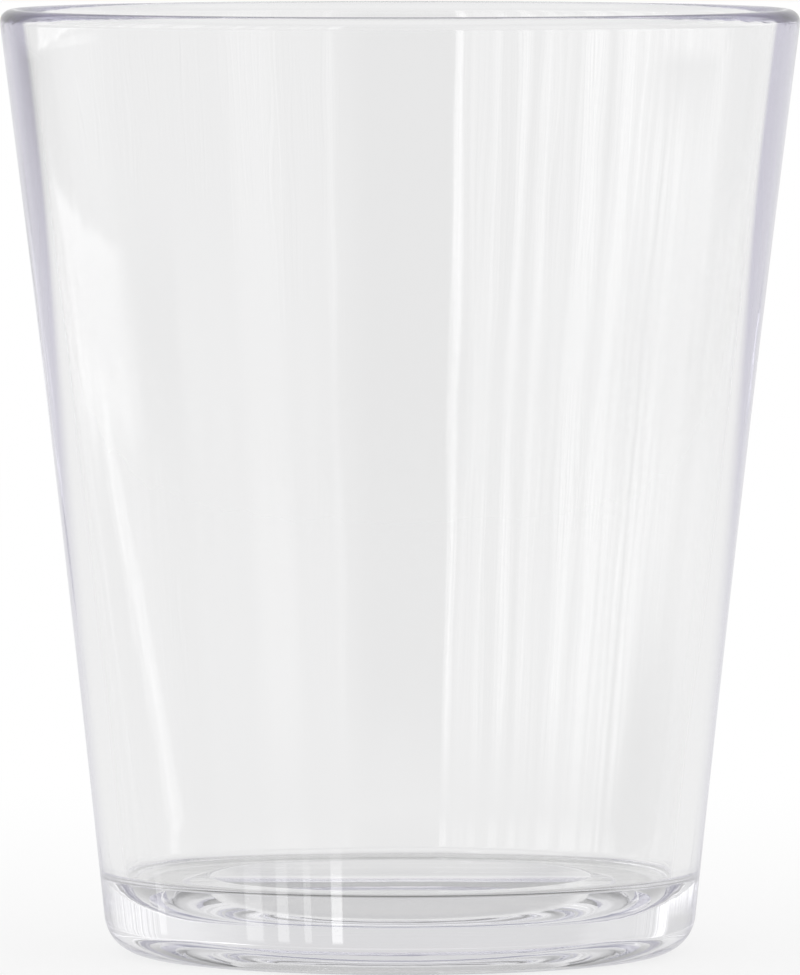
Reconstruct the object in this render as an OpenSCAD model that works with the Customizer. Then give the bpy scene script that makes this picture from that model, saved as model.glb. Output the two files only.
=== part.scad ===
// Clear rocks tumbler: a thin-walled cup with a round well in its floor, seated in a heavy base.
// Millimetres, +Z up. The origin is the centre of the foot, on the table.

/* [Overall] */
// Diameter over the rim
rim_d = 88; // [76:0.5:100]
// Height from the table to the top of the rim
height = 104; // [80:0.5:130]
// Diameter at the table that the outer wall would run down to
foot_d = 64.4; // [60:0.2:74]
// How far the wall curves in from a straight taper, at half height
wall_bow = 0.35; // [0:0.01:1]

/* [Cup] */
// Thickness of the side wall
wall = 2.8; // [2:0.1:4]
// Thickness of the cup's own floor, above the seam
cup_floor = 2; // [1.6:0.1:5]
// Radius where the inner wall turns into the floor
floor_fillet = 1; // [0.5:0.1:4]
// Diameter of the well in the floor
well_d = 42.2; // [36:0.2:46]
// Depth of the well
well_depth = 3.5; // [1:0.1:4.5]
// Radius of the well's rounded side
well_side_r = 10; // [6:0.5:14]
// Rounding of the well's upper edge
well_edge_r = 0.5; // [0.2:0.1:1.5]

/* [Base] */
// Height of the base, from the table to the seam under the cup
base_h = 6.6; // [6:0.1:12]
// Rounding of the lower outside corner
corner_r = 4.5; // [2:0.1:6]
// Width of the flat ring that stands on the table
foot_ring_w = 4; // [2:0.5:8]
// Depth of the hollow inside the foot ring
hollow_depth = 0.8; // [0.3:0.1:1.5]

/* [Hidden] */
$fn = 128;
// Straight steps along the wall, and the angle of a step along a rounded stretch
wall_steps = 10;
arc_step = 7.5;

// The wall leans out most at the rim and least at the foot.
lean = (rim_d - foot_d) / 2;
rim_lean = atan((lean + 4 * wall_bow) / height);
foot_lean = atan((lean - 4 * wall_bow) / height);
wall_across = wall / cos(atan(lean / height));

// The rim is a full round, as wide as the wall.
rim_r = wall / 2;
rim_mid = [rim_d / 2 - rim_r, height - rim_r];
rim_outer = rim_mid + rim_r * [cos(rim_lean), -sin(rim_lean)];
rim_inner = rim_mid - rim_r * [cos(rim_lean), -sin(rim_lean)];

// Outer and inner radius at a height on the wall.
function outer_r(z) =
    let (u = z / rim_outer[1])
    foot_d / 2 + (rim_outer[0] - foot_d / 2) * u - 4 * wall_bow * u * (1 - u);
function inner_r(z) = outer_r(z) - wall_across;

// The floor fillet touches the inner wall and the flat floor.
floor_z = base_h + cup_floor;
fillet_top_z = floor_z + floor_fillet * (1 - sin(foot_lean));
fillet_mid = [inner_r(fillet_top_z) - floor_fillet * cos(foot_lean), floor_z + floor_fillet];

// The well's side touches its flat bottom, and its edge touches the side and the floor.
well_z = floor_z - well_depth;
well_reach = sqrt(pow(well_side_r, 2) - pow(well_side_r - well_depth, 2));
well_mid = [well_d / 2 - well_reach, well_z + well_side_r];
edge_below = well_side_r - well_depth + well_edge_r;
edge_reach = sqrt(pow(well_side_r + well_edge_r, 2) - pow(edge_below, 2));
edge_mid = well_mid + [edge_reach, -edge_below];
edge_turn = atan2(edge_below, edge_reach);

// The underside of the cup follows the well, one floor thickness away, and fills a socket in the base.
socket_r = well_side_r + cup_floor;
socket_turn = asin(1 - well_depth / socket_r);

// The lower corner touches the outer wall and the table.
corner_top_z = corner_r * (1 - sin(foot_lean));
corner_mid = [outer_r(corner_top_z) - corner_r * cos(foot_lean), corner_r];
hollow_r = corner_mid[0] - foot_ring_w;

// Points of an arc about a centre, from one angle to another.
function arc(mid, r, from, to) =
    let (steps = ceil(abs(to - from) / arc_step))
    [for (i = [0 : steps]) let (a = from + (to - from) * i / steps) mid + r * [cos(a), sin(a)]];

// Points along the outer or the inner wall between two heights, both left out.
function outer_wall(from, to) =
    [for (i = [1 : wall_steps - 1]) let (z = from + (to - from) * i / wall_steps) [outer_r(z), z]];
function inner_wall(from, to) =
    [for (i = [1 : wall_steps - 1]) let (z = from + (to - from) * i / wall_steps) [inner_r(z), z]];

// The seam between cup and base, from the axis out to the outer wall.
seam = concat(
    [[0, base_h - well_depth]],
    arc(well_mid, socket_r, -90, -socket_turn),
    [[outer_r(base_h), base_h]]);

// Half of the cup in section: seam, outer wall, rim, inner wall, fillet, well edge, well side and well bottom.
cup_section = concat(
    seam,
    outer_wall(base_h, rim_outer[1]),
    arc(rim_mid, rim_r, -rim_lean, 180 - rim_lean),
    inner_wall(rim_inner[1], fillet_top_z),
    arc(fillet_mid, floor_fillet, -foot_lean, -90),
    arc(edge_mid, well_edge_r, 90, 180 - edge_turn),
    arc(well_mid, well_side_r, -edge_turn, -90),
    [[0, well_z]]);

// Half of the base in section: hollow, foot ring, lower corner, and the seam run back to the axis.
base_section = concat(
    [[0, hollow_depth], [hollow_r - hollow_depth, hollow_depth], [hollow_r, 0]],
    arc(corner_mid, corner_r, -90, -foot_lean),
    [for (i = [len(seam) - 1 : -1 : 0]) seam[i]]);

// Thin-walled cup that holds the drink, with the bulge of its well underneath.
module cup() {
    color([0.90, 0.90, 0.95, 0.45])
        rotate_extrude()
            polygon(cup_section);
}

// Heavy clear base, moulded round the underside of the cup.
module base() {
    color([0.84, 0.85, 0.92, 0.60])
        rotate_extrude()
            polygon(base_section);
}

cup();
base();
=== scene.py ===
# %% [markdown]
# A clear rocks glass, dressed for its picture.
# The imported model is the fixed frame: a thin-walled cup seated in a heavy clear base, in metres, standing
# on z = 0. It could be dressed piece by piece, but on the real glass no seam can be seen between the two,
# and a seam drawn in clear material would show as a bright line. So both are replaced here by one
# seamless body of the same outline.

# %% Load the frame
import math

import bpy
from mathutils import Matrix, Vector


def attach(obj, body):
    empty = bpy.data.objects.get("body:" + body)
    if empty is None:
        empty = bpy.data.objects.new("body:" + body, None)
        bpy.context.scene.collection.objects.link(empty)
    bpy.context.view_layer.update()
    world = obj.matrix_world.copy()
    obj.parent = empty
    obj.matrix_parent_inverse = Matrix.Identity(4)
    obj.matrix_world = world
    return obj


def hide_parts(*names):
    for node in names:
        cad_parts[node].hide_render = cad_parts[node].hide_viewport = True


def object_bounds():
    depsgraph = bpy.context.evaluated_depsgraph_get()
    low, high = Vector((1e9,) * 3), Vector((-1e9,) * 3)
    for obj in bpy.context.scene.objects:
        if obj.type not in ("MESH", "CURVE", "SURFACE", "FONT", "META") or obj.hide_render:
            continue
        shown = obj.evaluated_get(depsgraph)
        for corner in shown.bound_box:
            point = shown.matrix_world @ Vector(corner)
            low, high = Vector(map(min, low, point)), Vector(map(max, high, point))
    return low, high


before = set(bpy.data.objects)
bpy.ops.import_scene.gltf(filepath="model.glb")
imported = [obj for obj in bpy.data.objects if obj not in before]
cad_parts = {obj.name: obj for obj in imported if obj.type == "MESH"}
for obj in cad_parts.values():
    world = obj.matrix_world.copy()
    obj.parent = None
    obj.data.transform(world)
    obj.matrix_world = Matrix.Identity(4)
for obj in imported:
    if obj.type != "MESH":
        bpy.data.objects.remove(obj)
cad_low, cad_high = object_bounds()
print("CAD box", [round(v, 5) for v in cad_low], [round(v, 5) for v in cad_high])

# %% [markdown]
# The camera comes first, because a clear glass shows little but what stands round it, and that depends on
# the view. The rim is seen from just above it and the foot from about five degrees, which means a camera
# a little higher than the rim, far off, with a long lens. A close camera with a wide lens could frame the
# same glass, but its foot would look too small and the rim would open too far.

# %% Camera
PHOTO_W, PHOTO_H = 800, 975
CAMERA_DISTANCE = 1.5
CAMERA_HEIGHT = 0.1354
AIM_HEIGHT = 0.0513
FRAME_WIDTH_AT_GLASS = 0.08813
SENSOR = 36.0

camera_data = bpy.data.cameras.new("photo_camera")
camera = bpy.data.objects.new("photo_camera", camera_data)
bpy.context.scene.collection.objects.link(camera)
camera.location = (0.0, -CAMERA_DISTANCE, CAMERA_HEIGHT)
aim = Vector((0.0, 0.0, AIM_HEIGHT)) - camera.location
camera.rotation_euler = aim.to_track_quat("-Z", "Y").to_euler()
frame_height_at_glass = FRAME_WIDTH_AT_GLASS * PHOTO_H / PHOTO_W
camera_data.sensor_width = SENSOR
camera_data.lens = SENSOR * aim.length / frame_height_at_glass
bpy.context.scene.camera = camera
print("lens", round(camera_data.lens), "mm")

# %% [markdown]
# The glass is a body of revolution, so half of its section says everything about its shape.
# Its rim and height come from the frame. The wall leans out and is drawn in a little at half height, the
# rim is a full round as wide as the wall, and the floor carries a round well with a soft side. A stack of
# cylinders would give the same outline with facets at every corner, so the corners are worked out here as
# true arcs that touch their neighbours.

# %% Sizes of the section
FOOT_R = 0.0322
WALL = 0.0028
WALL_BOW = 0.00035
CORNER_R = 0.0045
FOOT_RING_W = 0.004
HOLLOW_DEPTH = 0.0008
FLOOR_Z = 0.0086
FLOOR_FILLET = 0.001
WELL_R = 0.0211
WELL_DEPTH = 0.0035
WELL_SIDE_R = 0.010
WELL_EDGE_R = 0.0005

rim_r = cad_high.x
rim_z = cad_high.z
lean = rim_r - FOOT_R
rim_lean = math.atan((lean + 4 * WALL_BOW) / rim_z)
foot_lean = math.atan((lean - 4 * WALL_BOW) / rim_z)
wall_across = WALL / math.cos(math.atan(lean / rim_z))
lip_r = WALL / 2
lip_mid = Vector((rim_r - lip_r, 0, rim_z - lip_r))
lip_outer = lip_mid + lip_r * Vector((math.cos(rim_lean), 0, -math.sin(rim_lean)))
print("rim", round(rim_r * 2000, 2), "mm across,", round(rim_z * 1000, 2), "mm high")


# %% Radius of the wall
def outer_r(z):
    """Outer radius of the wall at a height: a straight taper, drawn in a little at half height."""
    u = z / lip_outer.z
    return FOOT_R + (lip_outer.x - FOOT_R) * u - 4 * WALL_BOW * u * (1 - u)


def inner_r(z):
    """Inner radius of the wall at a height."""
    return outer_r(z) - wall_across


print("wall at half height", round(outer_r(rim_z / 2) * 1000, 2), "mm from the axis")

# %% Centres of the rounded corners
corner_top = CORNER_R * (1 - math.sin(foot_lean))
corner_mid = Vector((outer_r(corner_top) - CORNER_R * math.cos(foot_lean), 0, CORNER_R))
hollow_r = corner_mid.x - FOOT_RING_W

fillet_top = FLOOR_Z + FLOOR_FILLET * (1 - math.sin(foot_lean))
fillet_across = inner_r(fillet_top) - FLOOR_FILLET * math.cos(foot_lean)
fillet_mid = Vector((fillet_across, 0, FLOOR_Z + FLOOR_FILLET))

well_z = FLOOR_Z - WELL_DEPTH
well_reach = math.sqrt(WELL_SIDE_R**2 - (WELL_SIDE_R - WELL_DEPTH) ** 2)
well_mid = Vector((WELL_R - well_reach, 0, well_z + WELL_SIDE_R))
edge_below = WELL_SIDE_R - WELL_DEPTH + WELL_EDGE_R
edge_reach = math.sqrt((WELL_SIDE_R + WELL_EDGE_R) ** 2 - edge_below**2)
edge_mid = well_mid + Vector((edge_reach, 0, -edge_below))
edge_turn = math.atan2(edge_below, edge_reach)
print("flat floor of the well", round(well_mid.x * 2000, 1), "mm across")

# %% [markdown]
# The section is drawn as a modeller would draw it, with a pen that is a single vertex.
# Each extrude leaves an edge behind and carries the vertex on to the next point, and a rounded stretch is
# a run of short extrudes about its centre. A curve object could hold the same outline, but its even
# spacing would blur the small arcs, and here every arc keeps the same step.

# %% The pen
WALL_STEPS = 24
ARC_STEP = math.radians(4)


def start_pen(r, z):
    """Puts down one vertex, ready to be drawn out into a section."""
    bpy.ops.object.select_all(action="DESELECT")
    bpy.ops.mesh.primitive_plane_add(size=WALL, location=(0, 0, 0))
    piece = bpy.context.active_object
    bpy.ops.object.mode_set(mode="EDIT")
    bpy.ops.mesh.select_mode(type="VERT")
    bpy.ops.mesh.select_all(action="SELECT")
    bpy.ops.mesh.merge(type="CENTER")
    bpy.ops.transform.translate(value=(r, 0, z))
    return piece, Vector((r, 0, z))


def draw_to(pen, r, z):
    """Extrudes the pen's vertex in a straight line."""
    step = Vector((r, 0, z)) - pen
    bpy.ops.mesh.extrude_vertices_move(TRANSFORM_OT_translate={"value": step})
    return Vector((r, 0, z))


def draw_arc(pen, mid, radius, start, end):
    """Draws the pen along an arc about mid, from one angle to another, measured from +X towards +Z."""
    steps = max(2, round(abs(end - start) / ARC_STEP))
    for i in range(1, steps + 1):
        angle = start + (end - start) * i / steps
        point = mid + radius * Vector((math.cos(angle), 0, math.sin(angle)))
        pen = draw_to(pen, point.x, point.z)
    return pen


def draw_wall(pen, radius_at, end):
    """Draws the pen along the wall, from its own height to another."""
    start = pen.z
    for i in range(1, WALL_STEPS + 1):
        z = start + (end - start) * i / WALL_STEPS
        pen = draw_to(pen, radius_at(z), z)
    return pen


print("an arc of 90 degrees takes", round(math.radians(90) / ARC_STEP), "steps")

# %% [markdown]
# The outline starts under the glass, on the axis, and runs once round the section.
# A moulded base stands on a narrow ring with a shallow hollow inside it, so that it doesn't rock. Then
# come the rounded lower corner, the outer wall and the rim, and on the way back down the inner wall, a
# small fillet, the flat floor and the well. Both ends lie on the axis, so the spun body closes by itself.

# %% Draw the outside
DOWN = math.radians(-90)

tumbler, pen = start_pen(0.0, HOLLOW_DEPTH)
pen = draw_to(pen, hollow_r - HOLLOW_DEPTH, HOLLOW_DEPTH)
pen = draw_to(pen, hollow_r, 0.0)
pen = draw_to(pen, corner_mid.x, 0.0)
pen = draw_arc(pen, corner_mid, CORNER_R, DOWN, -foot_lean)
pen = draw_wall(pen, outer_r, lip_outer.z)
pen = draw_arc(pen, lip_mid, lip_r, -rim_lean, math.pi - rim_lean)
print("over the rim at", [round(v * 1000, 2) for v in (pen.x, pen.z)], "mm")

# %% Draw the inside
pen = draw_wall(pen, inner_r, fillet_top)
pen = draw_arc(pen, fillet_mid, FLOOR_FILLET, -foot_lean, DOWN)
pen = draw_to(pen, edge_mid.x, FLOOR_Z)
pen = draw_arc(pen, edge_mid, WELL_EDGE_R, -DOWN, math.pi - edge_turn)
pen = draw_arc(pen, well_mid, WELL_SIDE_R, -edge_turn, DOWN)
pen = draw_to(pen, 0.0, well_z)
print("bottom of the well at", round(pen.z * 1000, 2), "mm")

# %% [markdown]
# A full turn of the section gives the body, as a lathe would.
# Clear material shows every facet as a kink in what is seen through it, so the turn has many steps. The
# doubled vertices on the axis and at the closing seam are merged before the normals are set, or light
# would leak at the joint.

# %% Spin the section
AROUND = 400
MERGE_WITHIN = 1e-6
SMOOTH_UNDER = math.radians(25)

bpy.ops.mesh.select_all(action="SELECT")
bpy.ops.mesh.spin(steps=AROUND, angle=2 * math.pi, center=(0, 0, 0), axis=(0, 0, 1))
bpy.ops.mesh.select_all(action="SELECT")
bpy.ops.mesh.remove_doubles(threshold=MERGE_WITHIN)
bpy.ops.mesh.normals_make_consistent(inside=False)
bpy.ops.object.mode_set(mode="OBJECT")
bpy.ops.object.shade_smooth_by_angle(angle=SMOOTH_UNDER)
tumbler.name = "tumbler"
print("tumbler", len(tumbler.data.vertices), "vertices", len(tumbler.data.polygons), "faces")

# %% [markdown]
# Materials and light are sums over nodes, and sums read best as plain arithmetic.
# A small class wraps one output of a node, and each operator on it adds a Math node. Every other node
# comes from one method, which sets the node's own settings first and then its inputs. Wiring nodes by
# hand would give the same tree in five times the lines.

# %% Values in a shader
class Wire:
    """One output of a shader node. Arithmetic on it adds Math nodes to the same tree."""

    def __init__(self, socket):
        self.socket = socket

    def also(self, name):
        """Another output of the same node."""
        return Wire(self.socket.node.outputs[name])

    def math(self, operation, *values):
        """Adds a Math node to this value's tree."""
        tree = Graph(self.socket.id_data)
        return tree.node("ShaderNodeMath", {"operation": operation}, dict(enumerate(values)))

    def __add__(self, other):
        return self.math("ADD", self, other)

    def __sub__(self, other):
        return self.math("SUBTRACT", self, other)

    def __rsub__(self, other):
        return self.math("SUBTRACT", other, self)

    def __mul__(self, other):
        return self.math("MULTIPLY", self, other)

    def __truediv__(self, other):
        return self.math("DIVIDE", self, other)

    def __rtruediv__(self, other):
        return self.math("DIVIDE", other, self)

    def __neg__(self):
        return self * -1

    def __abs__(self):
        return self.math("ABSOLUTE", self)

    __radd__ = __add__
    __rmul__ = __mul__

    def rise(self, start, end):
        """Climbs smoothly from 0 to 1 while the value goes from start to end."""
        limits = {"Value": self, "From Min": start, "From Max": end}
        smooth = {"interpolation_type": "SMOOTHSTEP"}
        return Graph(self.socket.id_data).node("ShaderNodeMapRange", smooth, limits)

    def fall(self, start, end):
        """Drops smoothly from 1 to 0 while the value goes from start to end."""
        return 1 - self.rise(start, end)

    def band(self, start, full, fading, end):
        """Climbs from 0 to 1 between the first two values and drops back between the last two."""
        return self.rise(start, full) * self.fall(fading, end)


print("values in a shader can be added, subtracted, multiplied and divided")


# %% Nodes in a shader
class Graph:
    """A shader tree that nodes are added to."""

    def __init__(self, tree):
        self.tree = tree

    def node(self, kind, settings=None, inputs=None, out=0):
        """Adds a node, sets it up, fills or links its inputs and returns one of its outputs."""
        made = self.tree.nodes.new(kind)
        for name, value in (settings or {}).items():
            setattr(made, name, value)
        for name, value in (inputs or {}).items():
            if isinstance(value, Wire):
                self.tree.links.new(value.socket, made.inputs[name])
            else:
                made.inputs[name].default_value = value
        return Wire(made.outputs[out])

    def mix(self, factor, first, second):
        """Mixes two colours."""
        return self.node("ShaderNodeMix", {"data_type": "RGBA"}, {0: factor, 6: first, 7: second}, out=2)

    def stretch(self, vector, scale):
        """Multiplies a vector by another, axis by axis."""
        return self.node("ShaderNodeVectorMath", {"operation": "MULTIPLY"}, {0: vector, 1: scale})

    def length(self, vector):
        """Length of a vector."""
        return self.node("ShaderNodeVectorMath", {"operation": "LENGTH"}, {0: vector}, out="Value")

    def end(self, kind, surface, volume=None):
        """Links the shaders to the tree's output node."""
        made = self.tree.nodes.new(kind)
        self.tree.links.new(surface.socket, made.inputs["Surface"])
        if volume:
            self.tree.links.new(volume.socket, made.inputs["Volume"])


def new_material(name):
    """An empty material and the graph of its nodes."""
    material = bpy.data.materials.new(name)
    material.use_nodes = True
    material.node_tree.nodes.clear()
    return material, Graph(material.node_tree)


plastic, graph = new_material("clear_plastic")
print("empty material", plastic.name)

# %% [markdown]
# The glass is a clear moulded plastic that bends light a little more than window glass does.
# Looked through, it is nearly colourless, and its own faint violet comes from the absorption further down.
# Looked along, at the edges of the wall and round the rim, it is painted violet-grey: painted shade, near
# black on the rim. A Layer Weight node knows how obliquely the surface is met, so it brings that painted
# shade in at the edges. The outer skin, the inner skin and the rim each start at their own angle.

# %% Clear plastic: painted shade towards the edges
CLEAR = (0.99, 0.99, 0.99, 1.0)
# Colours of the painted edge shade: violet-grey on the wall, near black on the rim.
WALL_EDGE_SHADE = (0.40, 0.38, 0.52, 1.0)
RIM_EDGE_SHADE = (0.16, 0.14, 0.24, 1.0)
INNER_SKIN = (0.36 * WALL, 0.64 * WALL)
OVER_FOOT = (0.0025, 0.0045)
UPPER_WALL = (0.020, 0.090)
RIM_BEAD = (0.1024, 0.1030)
EDGE_START, EDGE_START_LESS = 0.70, 0.06
EDGE_END, EDGE_END_LESS = 0.96, 0.28
INNER_EDGE = (0.85, 1.0)

place = graph.node("ShaderNodeTexCoord", out="Object")
height = graph.node("ShaderNodeSeparateXYZ", None, {0: place}, out="Z")
from_axis = graph.length(graph.stretch(place, (1, 1, 0)))
under_skin = outer_r(height) - from_axis
inside = under_skin.rise(*INNER_SKIN) * height.rise(*OVER_FOOT)
upper = height.rise(*UPPER_WALL)
rim = height.rise(*RIM_BEAD)

facing = graph.node("ShaderNodeLayerWeight", None, {"Blend": 0.5}, out="Facing")
# Painted shade at oblique looks, starting sooner on the upper wall, with a thin painted line on the inner
# skin there.
outer_edge = facing.rise(EDGE_START - EDGE_START_LESS * upper, EDGE_END - EDGE_END_LESS * upper)
inner_edge = facing.rise(*INNER_EDGE) * upper
edge = outer_edge * (1 - inside) + inner_edge * inside
edge_shaded_colour = graph.mix(edge, CLEAR, graph.mix(rim, WALL_EDGE_SHADE, RIM_EDGE_SHADE))
print("edge cast", WALL_EDGE_SHADE[:3], "and on the rim", RIM_EDGE_SHADE[:3])

# %% [markdown]
# A moulded skin is never quite true.
# The melt leaves faint upright flow lines in the wall, and standing on tables dulls the foot ring with
# fine scuffs. Modelled, they would cost millions of faces, so one noise drives a Bump node, and another
# drives the roughness of the lowest few tenths of a millimetre.

# %% Clear plastic: flow lines and scuffs
FLOW_SCALE = 140.0
FLOW_STRETCH = (1, 1, 0.05)
SCUFF_SCALE = 900.0
SCUFF_ROUGHNESS = 0.30
SCUFF_END = (0.0001, 0.0004)
SKIN_RELIEF = 0.001
SKIN_STRENGTH = 0.05

flow_place = graph.stretch(place, FLOW_STRETCH)
flow = graph.node("ShaderNodeTexNoise", None, {"Vector": flow_place, "Scale": FLOW_SCALE, "Detail": 2.0})
scuff = graph.node("ShaderNodeTexNoise", None, {"Vector": place, "Scale": SCUFF_SCALE, "Detail": 3.0})
skin = {"Strength": SKIN_STRENGTH, "Distance": SKIN_RELIEF, "Height": flow}
bump = graph.node("ShaderNodeBump", None, skin, out="Normal")
rough = SCUFF_ROUGHNESS * scuff * height.fall(*SCUFF_END)
print("skin relief up to", SKIN_RELIEF * SKIN_STRENGTH * 1e6, "micrometres")

# %% [markdown]
# One Principled shader with full transmission makes the body, and a little absorption fills it.
# Absorption grows with the way through the material, so the heavy base comes out a shade deeper than the
# thin wall without being painted. The far wall would mirror the near rim as a dark arc across the glass,
# so a ray that has been mirrored once and comes back through the air passes the upper wall and the rim as
# if they were not there.

# %% Clear plastic: the shader
PLASTIC_IOR = 1.54
DEPTH_COLOUR = (0.62, 0.60, 0.76, 1.0)
DEPTH_DENSITY = 2.0
SKIPPED_WALL = (0.050, 0.095)

body = {"Base Color": edge_shaded_colour, "Roughness": rough, "Normal": bump}
body |= {"IOR": PLASTIC_IOR, "Transmission Weight": 1.0}
solid = graph.node("ShaderNodeBsdfPrincipled", None, body)
times_mirrored = graph.node("ShaderNodeLightPath", out="Glossy Depth")
times_passed = times_mirrored.also("Transparent Depth")
from_air = 1 - graph.node("ShaderNodeNewGeometry", out="Backfacing")
loose = from_air.math("MAXIMUM", from_air, times_passed.rise(0, 1))
skipped = times_mirrored.rise(0, 1) * loose * height.rise(*SKIPPED_WALL)
nothing = graph.node("ShaderNodeBsdfTransparent")
shader = graph.node("ShaderNodeMixShader", None, {0: skipped, 1: solid, 2: nothing})
depth = graph.node("ShaderNodeVolumeAbsorption", None, {"Color": DEPTH_COLOUR, "Density": DEPTH_DENSITY})
graph.end("ShaderNodeOutputMaterial", shader, depth)
tumbler.data.materials.append(plastic)

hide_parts("cup", "base")
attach(tumbler, "root")
print("clear plastic has", len(plastic.node_tree.nodes), "nodes")

# %% [markdown]
# The glass stands on a white table top, a wide disc that fades out before its edge, so that no horizon
# shows. The camera sees it white, with part of the true shaded surface mixed in near the glass to keep
# the soft shadow.

# %% The table
TABLE_R = 1.2
TABLE_FADE = 0.6
TABLE_COLOUR = (0.90, 0.90, 0.90, 1.0)
WHITE_NEAR_GLASS = 0.80
SHADOW_END = (0.03, 0.25)

bpy.ops.object.select_all(action="DESELECT")
bpy.ops.mesh.primitive_circle_add(vertices=96, radius=TABLE_R, fill_type="NGON", location=(0, 0, 0))
table = bpy.context.active_object
table.name = "table"

white_table, graph = new_material("white_table")
place = graph.node("ShaderNodeTexCoord", out="Object")
away = graph.length(place)
camera_ray = graph.node("ShaderNodeLightPath", out="Is Camera Ray")
glossy_ray = camera_ray.also("Is Glossy Ray")
through_ray = camera_ray.also("Is Transmission Ray")
bent_ray = glossy_ray.math("MAXIMUM", glossy_ray, through_ray)
seen_white = WHITE_NEAR_GLASS + (1 - WHITE_NEAR_GLASS) * away.rise(*SHADOW_END)
print("table", TABLE_R * 2, "m across")

# %% [markdown]
# Seen through the base, the same table is darker where the glass shades it.
# The shade is darkest at the ring that the glass stands on and is gone a little outside it. A steep look
# meets it at its darkest, which draws the edge of the well, and Layer Weight tells how steep a look is. A
# true soft shadow in clear material needs thousands of light paths, so the shade is written as rings
# round the axis.

# %% The table seen through the glass
TABLE_GLOW_BENT = 0.85
BENT_LEVEL = 0.885
SHADE_UNDER = 0.20
SHADE_AT_RING = 0.16
SHADE_STEEP = 0.38
UNDER_END = (0.032, 0.048)
RING = (0.021, 0.025, 0.030, 0.035)
STEEP_RING = (0.026, 0.030, 0.033, 0.037)
INSIDE_RING = (0.033, 0.037)
STEEP_LOOK = (0.36, 0.50)
SHALLOW_LOOK = (0.50, 0.70)
LOWEST_LOOK = (0.84, 0.90)

under = away.fall(*UNDER_END)
at_ring = away.band(*RING)
facing = graph.node("ShaderNodeLayerWeight", None, {"Blend": 0.5}, out="Facing")
steep_ring = away.band(*STEEP_RING) * facing.fall(*STEEP_LOOK)
# Painted sheen: grazing looks, and shallow looks at the table under the glass, skip the soft shade, as a
# satin top mirrors the bright room.
lowest = facing.rise(*LOWEST_LOOK)
shallow = lowest.math("MAXIMUM", lowest, away.fall(*INSIDE_RING) * facing.rise(*SHALLOW_LOOK))
soft_shade = (SHADE_UNDER * under + SHADE_AT_RING * at_ring) * (1 - shallow)
bent_level = BENT_LEVEL - soft_shade - SHADE_STEEP * steep_ring
print("table under the ring", round(BENT_LEVEL - SHADE_UNDER - SHADE_AT_RING, 3))

# %% [markdown]
# The front of the base leans out, so it mirrors the table just before it, where strips of window light
# lie. Only a plain reflection should find them, so they are limited to rays that are glossy and not
# passing through. They are placed by the angle at which the curved base mirrors the table, which keeps
# them upright in it.

# %% Strips of light before the glass
# Each strip: degrees to the right on the front of the glass, half its width in degrees, its level.
STRIPS = [
    (-12.1, 1.0, 6.0),
    (-17.9, 0.7, 2.5),
    (-23.0, 1.3, 3.0),
    (-29.3, 1.8, 2.5),
    (-54.8, 1.2, 1.5),
]
STRIP_REACH = (0.038, 0.043, 0.058, 0.085)
STRIP_CORE, STRIP_EDGE = 0.8, 1.2

across = graph.node("ShaderNodeSeparateXYZ", None, {0: place}, out="X")
side = across.math("ARCTAN2", across, -across.also("Y")) * math.degrees(1)
mirrored = side / (2 - FOOT_R / away)
patch = away.band(*STRIP_REACH) * glossy_ray * (1 - through_ray)
strip_level = 0
for at, half, strength in STRIPS:
    aside = abs(mirrored - at)
    strip_level = strip_level + strength * patch * aside.fall(STRIP_CORE * half, STRIP_EDGE * half)
print(len(STRIPS), "strips")

# %% The table's shader
glow = camera_ray * seen_white + bent_ray * TABLE_GLOW_BENT
glow_level = camera_ray + bent_ray * bent_level + strip_level
matt = graph.node("ShaderNodeBsdfDiffuse", None, {"Color": TABLE_COLOUR})
bright = graph.node("ShaderNodeEmission", None, {"Color": glow_level, "Strength": 1.0})
top = graph.node("ShaderNodeMixShader", None, {0: glow, 1: matt, 2: bright})
gone = graph.node("ShaderNodeBsdfTransparent")
fading = away.rise(TABLE_R - TABLE_FADE, TABLE_R)
faded_top = graph.node("ShaderNodeMixShader", None, {0: fading, 1: top, 2: gone})
graph.end("ShaderNodeOutputMaterial", faded_top)
table.data.materials.append(white_table)
print("table has", len(white_table.node_tree.nodes), "nodes")

# %% [markdown]
# Clear things are lit by what stands round them, so the studio is painted on the world.
# A direction is told by its angle to the right of the camera and by its height. The ring of walls is
# white. The camera stands in a darker gap of it, which the far wall of the glass mirrors as the grey
# middle band, and upright lights of different widths stand beside the gap, which it mirrors as streaks.
# Real lamps would do too, but each would cast its own shadow and need its own stand, while a painted
# light is just an angle, a width and a level.

# %% The studio's directions
world = bpy.data.worlds.new("studio")
bpy.context.scene.world = world
world.use_nodes = True
world.node_tree.nodes.clear()
graph = Graph(world.node_tree)
direction = graph.node("ShaderNodeTexCoord", out="Generated")
across = graph.node("ShaderNodeSeparateXYZ", None, {0: direction}, out="X")
up = across.also("Z")
turn = across.math("ARCTAN2", across, -across.also("Y"))
right = turn * math.degrees(1)
print("the camera stands at 0 degrees, the back at 180")

# %% Upright lights
GAP_LEVEL = 0.32
GAP_TURN = (-18.5, -16.0, 8.0, 28.0)
GAP_TOP = (0.24, 0.36)
# Each light: degrees to the right of the camera, half its width in degrees, its level above the wall's.
LIGHTS = [
    (-19.1, 1.5, 1.70),
    (-24.0, 0.9, 0.50),
    (-27.0, 0.9, 0.50),
    (-31.2, 1.5, 0.80),
    (-40.8, 2.1, 1.20),
    (-49.0, 1.6, 1.20),
    (-55.0, 1.8, 0.60),
    (-65.6, 4.6, 1.20),
    (-79.0, 4.6, 1.30),
    (-89.0, 2.8, 1.10),
    (-95.6, 1.4, 1.60),
    (-104.5, 4.0, 1.10),
    (-119.0, 10.0, 0.50),
    (-142.0, 10.0, 0.10),
    (23.0, 0.8, 0.60),
    (49.0, 9.0, 0.40),
]


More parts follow.
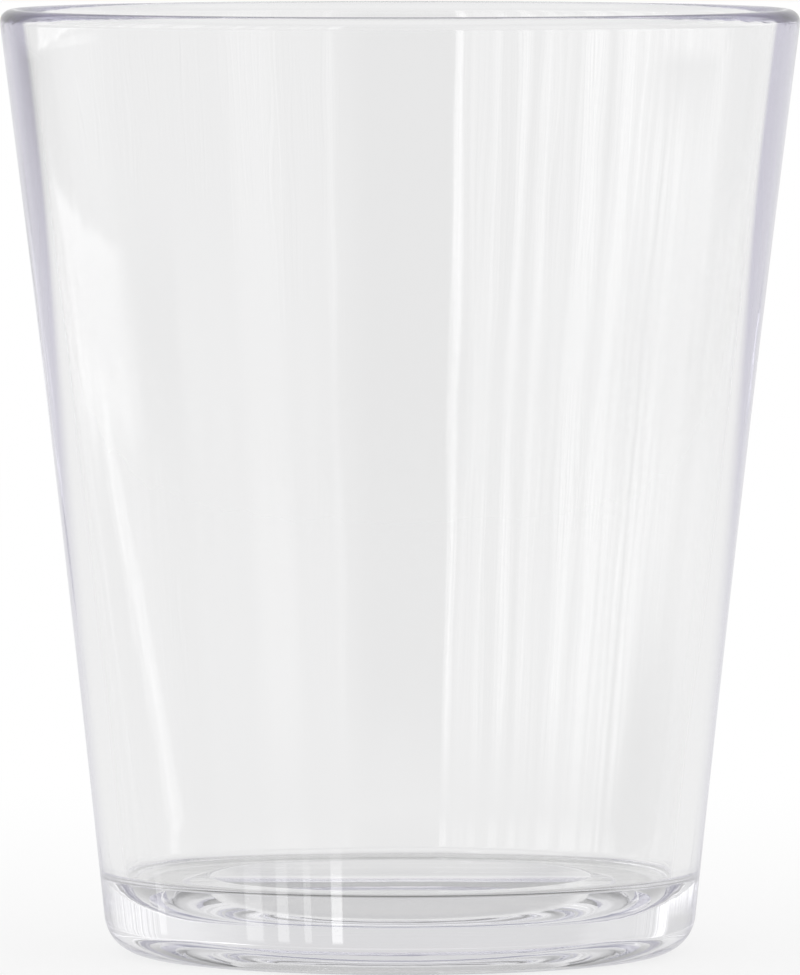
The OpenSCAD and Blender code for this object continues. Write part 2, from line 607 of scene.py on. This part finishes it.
def soft_edge(half):
    """Where a light of this half width starts to fade, and where it is gone."""
    return 0.7 * half - 0.2, 1.2 * half + 0.3


level = 1.0 - (1 - GAP_LEVEL * up.fall(*GAP_TOP)) * right.band(*GAP_TURN)
for at, half, extra in LIGHTS:
    level = level + extra * abs(right - at).fall(*soft_edge(half))
print(len(LIGHTS), "upright lights")

# %% [markdown]
# Each light is broken into finer streaks, as a hung cloth is by its folds, except behind the glass.
# The far wall leans, so it mirrors a direction lower in the picture the more that direction lies below a
# leaning line. That distance, the drop, tells where on the glass a light will show, and the lights end
# where their streaks end. Those far to the left have a top end too, which keeps the right end of the base
# grey beside its bright bar.

# %% Folds, and where the lights end
FOLDS_PER_DEGREE = 0.35
FOLD_DEPTH = 1.8
BACK_TURN = (125, 140)
BACK_SHADE = 0.14
BACK_SHADE_UP = (0.0, 0.04)
WALL_TILT = 0.225
LIGHT_DROP = 0.065
LIGHT_DROP_MORE = 0.02
MORE_TURN = (-114, -96)
LIGHT_END = (-0.015, 0.010)
TOPPED_TURN = (-126, -121, -100, -85)
LIGHT_TOP = (0.0, 0.02)

fold_noise = {"W": right * FOLDS_PER_DEGREE, "Detail": 4.0}
folds = graph.node("ShaderNodeTexNoise", {"noise_dimensions": "1D"}, fold_noise)
behind = abs(right).rise(*BACK_TURN)
back_level = 1 - BACK_SHADE * up.rise(*BACK_SHADE_UP)
level = level * (1 + FOLD_DEPTH * (folds - 0.5) * (1 - behind) - behind * (1 - back_level))
drop = WALL_TILT * right.math("COSINE", 0.5 * turn) - up
reach = LIGHT_DROP + LIGHT_DROP_MORE * right.rise(*MORE_TURN) - drop
topped = right.band(*TOPPED_TURN) * drop.fall(*LIGHT_TOP)
lit = reach.rise(*LIGHT_END) * (1 - topped)
print("streaks end at a drop of", LIGHT_DROP, "to", LIGHT_DROP + LIGHT_DROP_MORE)

# %% [markdown]
# Three lower things stand to the sides: a window, a bright rail below it and a dim corner across the
# room. The glass mirrors the window as a white block by its left edge, and the rail as the streak that
# curves down from it.

# %% Window, rail and dim corner
WINDOW_LEVEL = 0.9
WINDOW_TURN = (106, 116, 156, 166)
WINDOW_DROP = (0.025, 0.027, 0.041, 0.050)
RAIL_LEVEL = 1.1
RAIL_TURN = (104, 110, 138, 146)
RAIL_UP = 0.039
RAIL_SINKS = 0.010
RAIL_SINKS_FROM = (122, 145)
RAIL_HALF = (0.003, 0.009)
WASH_LEVEL = 0.2
WASH_TURN = (98, 120, 140, 166)
WASH_UP = (0.02, 0.05)
CORNER_SHADE = 0.5
CORNER_TURN = (80, 100, 140, 160)
CORNER_TOP = (0.05, 0.09)
CORNER_DROP = (0.03, 0.06)

window = right.band(*WINDOW_TURN) * drop.band(*WINDOW_DROP)
rail_up = RAIL_UP - RAIL_SINKS * right.rise(*RAIL_SINKS_FROM)
rail = right.band(*RAIL_TURN) * abs(up - rail_up).fall(*RAIL_HALF)
wash = right.band(*WASH_TURN) * up.rise(*WASH_UP)
left = -right
dim_corner = left.band(*CORNER_TURN) * up.fall(*CORNER_TOP) * drop.rise(*CORNER_DROP)
low_level = back_level - CORNER_SHADE * dim_corner
added = WINDOW_LEVEL * window + RAIL_LEVEL * rail + WASH_LEVEL * wash
shade = low_level + (level - low_level) * lit + added
print("window", WINDOW_LEVEL, "and rail", RAIL_LEVEL, "above the wall")

# %% [markdown]
# The walls end in a violet-grey ceiling, darkest over the camera, with a soft light straight overhead.
# All this is for rays that the glass has bent. The camera itself sees plain white, and matt surfaces get
# an even light from all round, so a colour renders about as it is written.

# %% The whole studio
WALL_LEVEL = 0.87
CEILING = (0.40, 0.40, 0.47, 1.0)
CEILING_IN_FRONT = (0.30, 0.30, 0.35, 1.0)
OVERHEAD = (0.98, 0.98, 1.0, 1.0)
BACKGROUND = (1.0, 1.0, 1.0, 1.0)
ROOM_LIGHT = (0.90, 0.90, 0.90, 1.0)
CEILING_UP = (0.42, 0.62)
OVERHEAD_UP = (0.70, 0.88)
FRONT_TURN = (60, 100)

plain_ceiling = graph.mix(abs(right).rise(*FRONT_TURN), CEILING_IN_FRONT, CEILING)
ceiling = graph.mix(up.rise(*OVERHEAD_UP), plain_ceiling, OVERHEAD)
studio = graph.mix(up.rise(*CEILING_UP), WALL_LEVEL * shade, ceiling)
camera_ray = graph.node("ShaderNodeLightPath", out="Is Camera Ray")
glossy_ray = camera_ray.also("Is Glossy Ray")
bent_ray = glossy_ray.math("MAXIMUM", glossy_ray, camera_ray.also("Is Transmission Ray"))
shown = graph.mix(camera_ray, graph.mix(bent_ray, ROOM_LIGHT, studio), BACKGROUND)
background = graph.node("ShaderNodeBackground", None, {"Color": shown, "Strength": 1.0})
graph.end("ShaderNodeOutputWorld", background)
print("studio has", len(world.node_tree.nodes), "nodes")

# %% [markdown]
# Light runs along inside a clear wall and is mirrored dozens of times before it finds a way out.
# With few bounces allowed, those paths end in black and draw black lines at the rim and the foot, so the
# limits are set high. The Standard view shows colours as they are written.

# %% Render settings
BOUNCES = 256

scene = bpy.context.scene
scene.view_settings.view_transform = "Standard"
scene.cycles.max_bounces = BOUNCES
scene.cycles.transmission_bounces = BOUNCES
scene.cycles.glossy_bounces = BOUNCES
print("up to", BOUNCES, "bounces")
